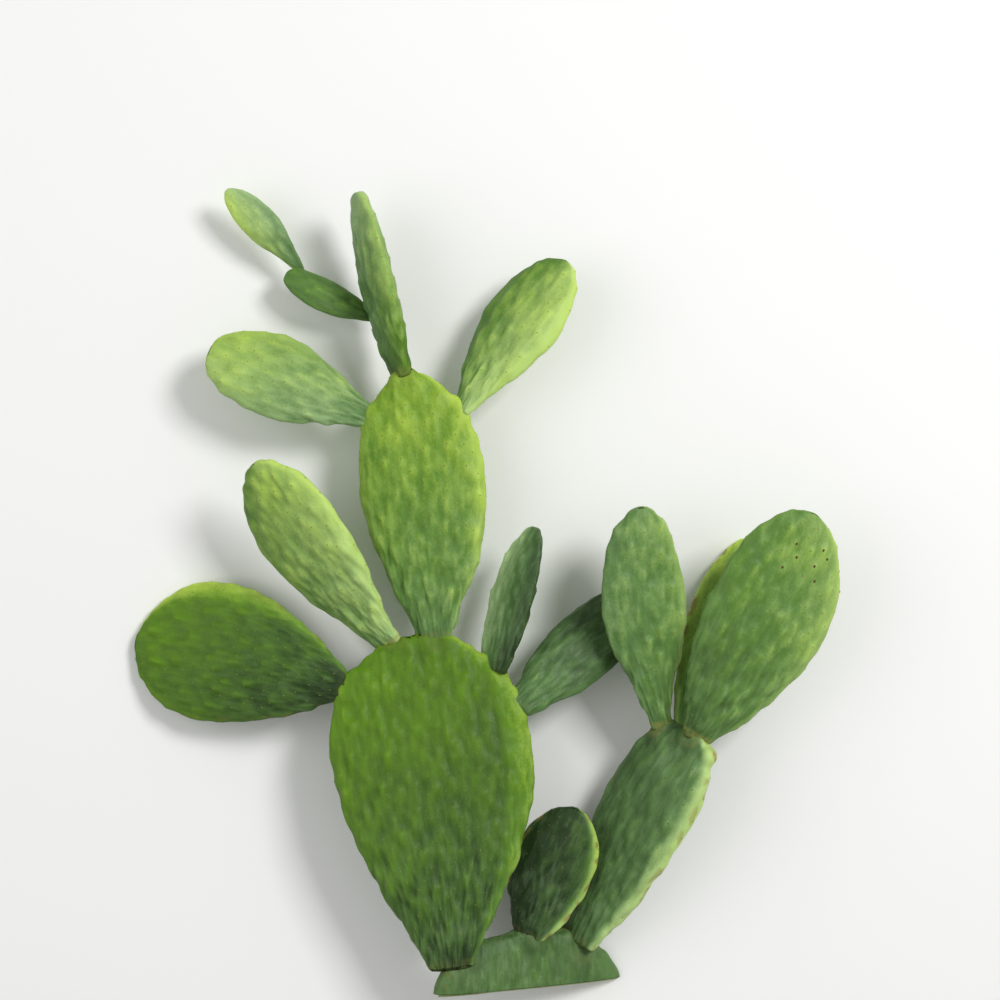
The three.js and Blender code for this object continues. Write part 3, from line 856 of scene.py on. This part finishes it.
def corky_bark():
    """Dead dry cork: matt tan, cracked and pitted."""
    settings = bpy.context.scene.prickly_skin
    material, tree, shader = new_material("corky_scar")
    pits = own_noise(tree, 2.2 * MM, 5)
    mottled(tree, shader, pits, settings.bark, 0.5)
    shader.inputs["Roughness"].default_value = 0.85
    bumped(tree, shader, pits, 1.0, 0.8 * MM)
    return material


def material_for(age):
    """The waxy skin of an age, made once."""
    name = f"waxy_skin_{age}"
    made = bpy.data.materials.get(name)
    if made:
        return made
    return waxy_skin(name, {"young": 0.48, "mature": 0.46, "old": 0.42}[age])


# ---- Operators ----


def copy_along(name, dome, places):
    """One mesh with a copy of the dome at each place."""
    base = points_of(dome)
    faces = [tuple(face.vertices) for face in dome.data.polygons]
    points, polygons = [], []
    for matrix in places:
        start = len(points) * len(base)
        turn = np.array(matrix)
        points.append(base @ turn[:3, :3].T + turn[:3, 3])
        polygons += [tuple(start + corner for corner in face) for face in faces]
    mesh = bpy.data.meshes.new(name)
    mesh.from_pydata(np.concatenate(points).tolist(), [], polygons)
    copied = bpy.data.objects.new(name, mesh)
    bpy.context.collection.objects.link(copied)
    return copied


def areole_places(piece, pad, tops, size):
    """Where each areole sits on the finished skin, lengthwise along the pad, with its tubercle's top."""
    points = points_of(piece)
    world = matrix_of(pad)
    axis = world.to_3x3() @ Vector((0, 1, 0))
    shape = Matrix.Diagonal((*(size * share for share in AREOLE_SHAPE), 1))
    places = []
    for top in tops:
        at = world @ Vector(top[:3])
        nearest = int(np.argmin(((points - np.array(at)) ** 2).sum(axis=1)))
        vertex = piece.data.vertices[nearest]
        out = vertex.normal.normalized()
        across = axis.cross(out).normalized()
        lengthwise = out.cross(across)
        axes = Matrix((across, lengthwise, out)).transposed().to_4x4()
        places.append((Matrix.Translation(vertex.co) @ axes @ shape, Vector(top[:3])))
    return places


def add_areoles(piece, pad, tops, chance):
    """Felt cushions on the tubercles, some of them rust red near the tip of one pad."""
    settings = bpy.context.scene.prickly_skin
    size = settings.areole * (0.6 + 0.4 * girth_of(pad))
    bpy.ops.object.select_all(action="DESELECT")
    bpy.ops.mesh.primitive_uv_sphere_add(segments=8, ring_count=4, radius=1)
    dome = bpy.context.object
    pale, dark = [], []
    for place, top in areole_places(piece, pad, tops, size):
        aged = pad.name == DARK_ON and top.x > DARK_FROM[0] * pad.width and top.y > DARK_FROM[1] * pad.length
        aged = aged and chance.random() < DARK_SHARE
        (dark if aged else pale).append(place @ Matrix.Scale(DARK_SIZE, 4) if aged else place)
    colour_of_age = tuple(getattr(settings, f"{pad.age}_felt"))
    for name, places, material in (
        (f"areoles_{pad.name}", pale, felt(f"areole_felt_{pad.age}", colour_of_age)),
        (f"dark_areoles_{pad.name}", dark, felt("dark_areole_felt", tuple(settings.dark_felt))),
    ):
        if places:
            areoles = copy_along(name, dome, places)
            areoles.data.materials.append(material)
            finish_piece(areoles, None)
    bpy.data.objects.remove(dome)


def check_fit(piece, node):
    """A piece stands where its node does, or the script stops."""
    low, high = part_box(node)
    points = points_of(piece)
    off = np.abs(np.array([points.min(axis=0), points.max(axis=0)]) - np.array([low, high])).max()
    if off > FIT:
        raise RuntimeError(f"{node} lies {off / MM:.1f} mm from its CAD node")


def rest_on_floor(piece):
    """Flattens what would reach below the surface that the branch lies on."""
    points = points_of(piece)
    points[:, 2] = np.maximum(points[:, 2], FLOOR)
    move_points(piece, points)


def finish_pad(piece, pad, chance, lowest=0.0):
    """Smooths and dresses a pad, stands it in its place and gives it areoles above its lowest level."""
    apply_modifier(piece, "SUBSURF", levels=SMOOTH_LEVELS, render_levels=SMOOTH_LEVELS)
    tops = dress_skin(piece, pad, chance)
    piece.matrix_world = matrix_of(pad)
    finish_piece(piece, pad.name)
    rest_on_floor(piece)
    check_fit(piece, pad.name)
    add_areoles(piece, pad, [top for top in tops if top[1] > lowest], chance)


class PRICKLY_OT_grow_pads(bpy.types.Operator):
    """Grows every pad with its areoles"""

    bl_idname = "prickly.grow_pads"
    bl_label = "Grow pads"

    def execute(self, context):
        for order, pad in enumerate(context.scene.prickly_pads):
            if not pad.on:
                continue
            chance = np.random.default_rng(SEED + order)
            piece = loft(pad, 0.0)
            piece.data.materials.append(material_for(pad.age))
            finish_pad(piece, pad, chance)
        return {"FINISHED"}


class PRICKLY_OT_cut_stub(bpy.types.Operator):
    """Makes the top of the parent pad, cut straight across"""

    bl_idname = "prickly.cut_stub"
    bl_label = "Cut parent pad"

    def execute(self, context):
        pad = pad_named(PARENT["name"])
        chance = np.random.default_rng(SEED + 100)
        cut_level = pad.length - STUB_LENGTH
        piece = loft(pad, cut_share(pad, cut_level))
        bpy.ops.object.mode_set(mode="EDIT")
        bpy.ops.mesh.select_all(action="DESELECT")
        bpy.ops.object.mode_set(mode="OBJECT")
        cut = min(piece.data.polygons, key=lambda face: face.center.y)
        cut.select = True
        piece.data.materials.append(material_for(pad.age))
        piece.data.materials.append(cut_flesh())
        bpy.ops.object.mode_set(mode="EDIT")
        for thickness, depth in CUT_STEPS:
            bpy.ops.mesh.inset(thickness=thickness, depth=depth)
        bpy.ops.mesh.poke()
        bpy.ops.object.mode_set(mode="OBJECT")
        for face in piece.data.polygons:
            highest = max(piece.data.vertices[corner].co.y for corner in face.vertices)
            if highest < cut_level + FLESH_REACH and face.normal.y < -0.5:
                face.material_index = 1
        finish_pad(piece, pad, chance, cut_level + STUB_BARE)
        return {"FINISHED"}


class PRICKLY_OT_add_scar(bpy.types.Operator):
    """Adds the corky knob where another pad broke off"""

    bl_idname = "prickly.add_scar"
    bl_label = "Add scar"

    def execute(self, context):
        pad = pad_named(SCAR["on"])
        radius = SCAR_CAP * SCAR["width"] / 2 * MM
        centre = seat_point(pad, SCAR["along"], SCAR["side"], 0)
        centre.x += SCAR["rise"] * MM - SCAR_SUNK * radius
        centre.y -= SCAR_DROP * radius
        bpy.ops.object.select_all(action="DESELECT")
        bpy.ops.mesh.primitive_uv_sphere_add(segments=24, ring_count=12, radius=radius)
        piece = context.object
        piece.name = "broken_joint_scar"
        bpy.ops.transform.resize(value=SCAR_SHAPE)
        apply_modifier(piece, "SUBSURF", levels=1, render_levels=1)
        raise_skin(piece, SCAR_ROUGHNESS * noise_field(points_of(piece), SCAR_GRAIN, SEED))
        piece.matrix_world = matrix_of(pad) @ Matrix.Translation(centre) @ piece.matrix_world
        piece.data.materials.append(corky_bark())
        finish_piece(piece, None)
        return {"FINISHED"}


class PRICKLY_OT_set_stage(bpy.types.Operator):
    """Lays the floor and sets the lights and the camera"""

    bl_idname = "prickly.set_stage"
    bl_label = "Set stage"

    def execute(self, context):
        scene = context.scene
        settings = scene.prickly_stage
        bpy.ops.object.select_all(action="DESELECT")
        bpy.ops.mesh.primitive_plane_add(size=12, location=(0, 0, FLOOR - FLOOR_DROP))
        floor = context.object
        floor.name = "floor"
        bpy.ops.object.transform_apply(location=True, rotation=True, scale=True)
        # Matt and pale, so that it takes soft shadows and shows no glare.
        material, _, shader = new_material("pale_floor")
        shader.inputs["Base Color"].default_value = settings.floor
        shader.inputs["Roughness"].default_value = 0.85
        floor.data.materials.append(material)

        target = Vector((*settings.view_centre, 0.05))
        for name, way, distance, size, power in (
            ("key_light", (0.7, 0.5, 1.0), 3.0, 0.9, settings.key),
            ("fill_light", (-0.9, 0.1, 1.0), 2.4, 2.0, settings.fill),
        ):
            bpy.ops.object.light_add(type="AREA")
            light = context.object
            light.name = name
            light.location = target + Vector(way).normalized() * distance
            light.rotation_euler = (target - light.location).to_track_quat("-Z", "Y").to_euler()
            light.data.size = size
            light.data.energy = power

        world = bpy.data.worlds.new("studio")
        world.use_nodes = True
        world.node_tree.nodes["Background"].inputs["Color"].default_value = (1, 1, 1, 1)
        world.node_tree.nodes["Background"].inputs["Strength"].default_value = settings.sky
        scene.world = world
        scene.view_settings.view_transform = "Standard"

        middle = (CAD_BOX[0][2] + CAD_BOX[1][2]) / 2
        bpy.ops.object.camera_add(location=(*settings.view_centre, middle + settings.view_height))
        camera = context.object
        camera.rotation_euler = (0, 0, 0)
        camera.data.lens = settings.lens
        camera.data.sensor_width = 36
        scene.camera = camera
        return {"FINISHED"}


class PRICKLY_PT_panel(bpy.types.Panel):
    """Lists the steps and the settings of the branch"""

    bl_idname = "PRICKLY_PT_panel"
    bl_label = "Prickly pear"
    bl_space_type = "VIEW_3D"
    bl_region_type = "UI"
    bl_category = "Prickly pear"

    def draw(self, context):
        layout = self.layout
        for operator in OPERATORS:
            layout.operator(operator.bl_idname)
        for settings in (context.scene.prickly_skin, context.scene.prickly_stage):
            box = layout.box()
            for key in settings.__annotations__:
                box.prop(settings, key)
        for pad in context.scene.prickly_pads:
            layout.label(text=pad.name)


OPERATORS = (PRICKLY_OT_cut_stub, PRICKLY_OT_grow_pads, PRICKLY_OT_add_scar, PRICKLY_OT_set_stage)
CLASSES = (PadSettings, SkinSettings, StageSettings, *OPERATORS, PRICKLY_PT_panel)
ANGLES = ("heading", "lean", "roll")
LENGTHS = ("length", "width", "thickness", "neck", "bow", "curl")
SHADES = ("tone", "fresh")


def register():
    for item in CLASSES:
        bpy.utils.register_class(item)
    bpy.types.Scene.prickly_pads = bpy.props.CollectionProperty(type=PadSettings)
    bpy.types.Scene.prickly_skin = bpy.props.PointerProperty(type=SkinSettings)
    bpy.types.Scene.prickly_stage = bpy.props.PointerProperty(type=StageSettings)


def unregister():
    del bpy.types.Scene.prickly_stage
    del bpy.types.Scene.prickly_skin
    del bpy.types.Scene.prickly_pads
    for item in reversed(CLASSES):
        bpy.utils.unregister_class(item)


def list_pads():
    """Fills the scene's list of pads from the table, in metres and radians."""
    for row in (PARENT, *PADS):
        pad = bpy.context.scene.prickly_pads.add()
        values = {key: value for key, value in row.items() if key not in ("size", *SHADES)}
        values.update(zip(LENGTHS, row["size"]))
        for shade in SHADES:
            values.update(zip((f"foot_{shade}", f"tip_{shade}", f"side_{shade}"), row[shade]))
        for key, value in values.items():
            value = math.radians(value) if key in ANGLES else value * MM if key in LENGTHS else value
            setattr(pad, key, value)


def main():
    register()
    list_pads()
    bpy.ops.prickly.cut_stub()
    bpy.ops.prickly.grow_pads()
    bpy.ops.prickly.add_scar()
    bpy.ops.prickly.set_stage()


if __name__ == "__main__":
    main()
